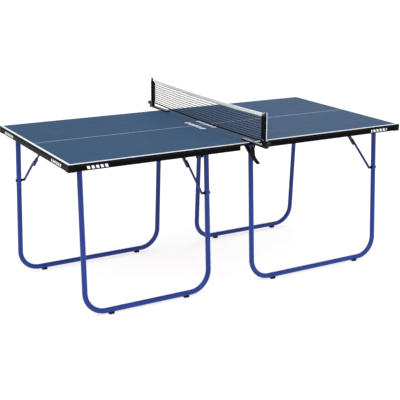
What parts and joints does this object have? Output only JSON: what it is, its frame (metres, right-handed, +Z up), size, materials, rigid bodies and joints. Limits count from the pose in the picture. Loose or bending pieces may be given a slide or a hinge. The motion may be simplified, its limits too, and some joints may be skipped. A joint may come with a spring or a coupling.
{
  "type": "table tennis table",
  "caption": "Compact blue table tennis table: two latched half tops on folding tube leg frames with braces, and a clip-on net with clamps and cord.",
  "frame": {"origin": "on the floor under the middle of the net, where the two half tops meet", "axes": "+Z up, +X along the table's length, +Y across the table along the net"},
  "size_m": [1.833, 1.222, 0.924],
  "materials": {
    "board": "matte blue paint on the playing face, black edges, bare board underneath",
    "apron": "satin black powder coat",
    "corner_plastic": "fine-grained black plastic",
    "frame_paint": "glossy blue powder coat",
    "zinc_steel": "dull zinc plating",
    "brace_paint": "dark navy paint",
    "foot_rubber": "black rubber",
    "clamp_paint": "satin black paint",
    "knob_plastic": "black plastic",
    "net_mesh": "dark knotted mesh, black hems",
    "tape_fabric": "white woven tape",
    "cord_fibre": "white braided cord"
  },
  "bodies": {
    "table": {"board_left": "board", "end_rail_left": "apron", "side_rail_far_left": "apron", "corner_cap_far_left": "corner_plastic", "side_rail_near_left": "apron", "corner_cap_near_left": "corner_plastic", "hinge_bracket_far_left_outer": "zinc_steel", "hinge_bracket_far_left_inner": "zinc_steel", "brace_bracket_far_left": "zinc_steel", "hinge_bracket_near_left_outer": "zinc_steel", "hinge_bracket_near_left_inner": "zinc_steel", "brace_bracket_near_left": "zinc_steel", "board_right": "board", "end_rail_right": "apron", "side_rail_near_right": "apron", "corner_cap_near_right": "corner_plastic", "side_rail_far_right": "apron", "corner_cap_far_right": "corner_plastic", "hinge_bracket_near_right_outer": "zinc_steel", "hinge_bracket_near_right_inner": "zinc_steel", "brace_bracket_near_right": "zinc_steel", "hinge_bracket_far_right_outer": "zinc_steel", "hinge_bracket_far_right_inner": "zinc_steel", "brace_bracket_far_right": "zinc_steel", "net": "net_mesh", "net_tape": "tape_fabric", "net_cord": "cord_fibre", "net_clamp_far": "clamp_paint", "net_clamp_near": "clamp_paint"},
    "leg_far_left": {"leg_frame_far_left": "frame_paint", "foot_far_left_outer": "foot_rubber", "foot_far_left_inner": "foot_rubber"},
    "brace_rod_far_left": {"brace_rod_far_left": "frame_paint"},
    "brace_link_far_left": {"brace_link_far_left": "brace_paint"},
    "lock_sleeve_far_left": {"lock_sleeve_far_left": "brace_paint"},
    "leg_near_left": {"leg_frame_near_left": "frame_paint", "foot_near_left_outer": "foot_rubber", "foot_near_left_inner": "foot_rubber"},
    "brace_rod_near_left": {"brace_rod_near_left": "frame_paint"},
    "brace_link_near_left": {"brace_link_near_left": "brace_paint"},
    "lock_sleeve_near_left": {"lock_sleeve_near_left": "brace_paint"},
    "leg_near_right": {"leg_frame_near_right": "frame_paint", "foot_near_right_outer": "foot_rubber", "foot_near_right_inner": "foot_rubber"},
    "brace_rod_near_right": {"brace_rod_near_right": "frame_paint"},
    "brace_link_near_right": {"brace_link_near_right": "brace_paint"},
    "lock_sleeve_near_right": {"lock_sleeve_near_right": "brace_paint"},
    "leg_far_right": {"leg_frame_far_right": "frame_paint", "foot_far_right_outer": "foot_rubber", "foot_far_right_inner": "foot_rubber"},
    "brace_rod_far_right": {"brace_rod_far_right": "frame_paint"},
    "brace_link_far_right": {"brace_link_far_right": "brace_paint"},
    "lock_sleeve_far_right": {"lock_sleeve_far_right": "brace_paint"},
    "clamp_jaw_far": {"clamp_jaw_far": "clamp_paint"},
    "tension_knob_far": {"tension_knob_far": "knob_plastic"},
    "latch_hook_far": {"latch_hook_far": "zinc_steel"},
    "clamp_jaw_near": {"clamp_jaw_near": "clamp_paint"},
    "tension_knob_near": {"tension_knob_near": "knob_plastic"},
    "latch_hook_near": {"latch_hook_near": "zinc_steel"}
  },
  "joints": [
    {"name": "leg_fold_far_left", "type": "hinge", "parent": "table", "child": "leg_far_left", "pos_m": [-0.482, 0.309, 0.729], "axis": [-1, 0, 0], "range_deg": [0, 60]},
    {"name": "brace_rod_turn_far_left", "type": "hinge", "parent": "leg_far_left", "child": "brace_rod_far_left", "pos_m": [-0.873, 0.3209, 0.50201], "axis": [1, 0, 0], "range_deg": [0, 93.71]},
    {"name": "brace_link_turn_far_left", "type": "hinge", "parent": "table", "child": "brace_link_far_left", "pos_m": [-0.873, 0.047, 0.729], "axis": [-1, 0, 0], "range_deg": [0, 100.31]},
    {"name": "lock_sleeve_slide_far_left", "type": "slide", "parent": "brace_link_far_left", "child": "lock_sleeve_far_left", "axis": [0, -0.77, 0.6381], "range_m": [0, 0.045]},
    {"name": "leg_fold_near_left", "type": "hinge", "parent": "table", "child": "leg_near_left", "pos_m": [-0.484, -0.309, 0.729], "axis": [1, 0, 0], "range_deg": [0, 93]},
    {"name": "brace_rod_turn_near_left", "type": "hinge", "parent": "leg_near_left", "child": "brace_rod_near_left", "pos_m": [-0.161, -0.3209, 0.50201], "axis": [-1, 0, 0], "range_deg": [0, 132.71]},
    {"name": "brace_link_turn_near_left", "type": "hinge", "parent": "table", "child": "brace_link_near_left", "pos_m": [-0.161, -0.047, 0.729], "axis": [1, 0, 0], "range_deg": [0, 140.41]},
    {"name": "lock_sleeve_slide_near_left", "type": "slide", "parent": "brace_link_near_left", "child": "lock_sleeve_near_left", "axis": [0, 0.77, 0.6381], "range_m": [0, 0.045]},
    {"name": "leg_fold_near_right", "type": "hinge", "parent": "table", "child": "leg_near_right", "pos_m": [0.482, -0.309, 0.729], "axis": [1, 0, 0], "range_deg": [0, 60]},
    {"name": "brace_rod_turn_near_right", "type": "hinge", "parent": "leg_near_right", "child": "brace_rod_near_right", "pos_m": [0.873, -0.3209, 0.50201], "axis": [-1, 0, 0], "range_deg": [0, 93.71]},
    {"name": "brace_link_turn_near_right", "type": "hinge", "parent": "table", "child": "brace_link_near_right", "pos_m": [0.873, -0.047, 0.729], "axis": [1, 0, 0], "range_deg": [0, 100.31]},
    {"name": "lock_sleeve_slide_near_right", "type": "slide", "parent": "brace_link_near_right", "child": "lock_sleeve_near_right", "axis": [0, 0.77, 0.6381], "range_m": [0, 0.045]},
    {"name": "leg_fold_far_right", "type": "hinge", "parent": "table", "child": "leg_far_right", "pos_m": [0.484, 0.309, 0.729], "axis": [-1, 0, 0], "range_deg": [0, 93]},
    {"name": "brace_rod_turn_far_right", "type": "hinge", "parent": "leg_far_right", "child": "brace_rod_far_right", "pos_m": [0.161, 0.3209, 0.50201], "axis": [1, 0, 0], "range_deg": [0, 132.71]},
    {"name": "brace_link_turn_far_right", "type": "hinge", "parent": "table", "child": "brace_link_far_right", "pos_m": [0.161, 0.047, 0.729], "axis": [-1, 0, 0], "range_deg": [0, 140.41]},
    {"name": "lock_sleeve_slide_far_right", "type": "slide", "parent": "brace_link_far_right", "child": "lock_sleeve_far_right", "axis": [0, -0.77, 0.6381], "range_m": [0, 0.045]},
    {"name": "clamp_jaw_open_far", "type": "hinge", "parent": "table", "child": "clamp_jaw_far", "pos_m": [0, 0.468, 0.744], "axis": [1, 0, 0], "range_deg": [0, 25], "stiffness_Nm_per_rad": 1.5, "springref_deg": -20.05},
    {"name": "tension_knob_turn_far", "type": "hinge", "parent": "table", "child": "tension_knob_far", "pos_m": [0, 0.588, 0.778], "axis": [0, 1, 0], "continuous": true},
    {"name": "latch_hook_turn_far", "type": "hinge", "parent": "table", "child": "latch_hook_far", "pos_m": [-0.035, 0.25, 0.7422], "axis": [0, 0, -1], "range_deg": [0, 90]},
    {"name": "clamp_jaw_open_near", "type": "hinge", "parent": "table", "child": "clamp_jaw_near", "pos_m": [0, -0.468, 0.744], "axis": [-1, 0, 0], "range_deg": [0, 25], "stiffness_Nm_per_rad": 1.5, "springref_deg": -20.05},
    {"name": "tension_knob_turn_near", "type": "hinge", "parent": "table", "child": "tension_knob_near", "pos_m": [0, -0.588, 0.778], "axis": [0, -1, 0], "continuous": true},
    {"name": "latch_hook_turn_near", "type": "hinge", "parent": "table", "child": "latch_hook_near", "pos_m": [-0.035, -0.25, 0.7422], "axis": [0, 0, -1], "range_deg": [0, 90]}
  ],
  "couplings": [
    {"joint": "brace_rod_turn_far_left", "follows": "leg_fold_far_left", "ratio": 1.5609},
    {"joint": "brace_link_turn_far_left", "follows": "leg_fold_far_left", "ratio": 1.6708},
    {"joint": "brace_rod_turn_near_left", "follows": "leg_fold_near_left", "ratio": 1.4263},
    {"joint": "brace_link_turn_near_left", "follows": "leg_fold_near_left", "ratio": 1.5091},
    {"joint": "brace_rod_turn_near_right", "follows": "leg_fold_near_right", "ratio": 1.5609},
    {"joint": "brace_link_turn_near_right", "follows": "leg_fold_near_right", "ratio": 1.6708},
    {"joint": "brace_rod_turn_far_right", "follows": "leg_fold_far_right", "ratio": 1.4263},
    {"joint": "brace_link_turn_far_right", "follows": "leg_fold_far_right", "ratio": 1.5091}
  ]
}
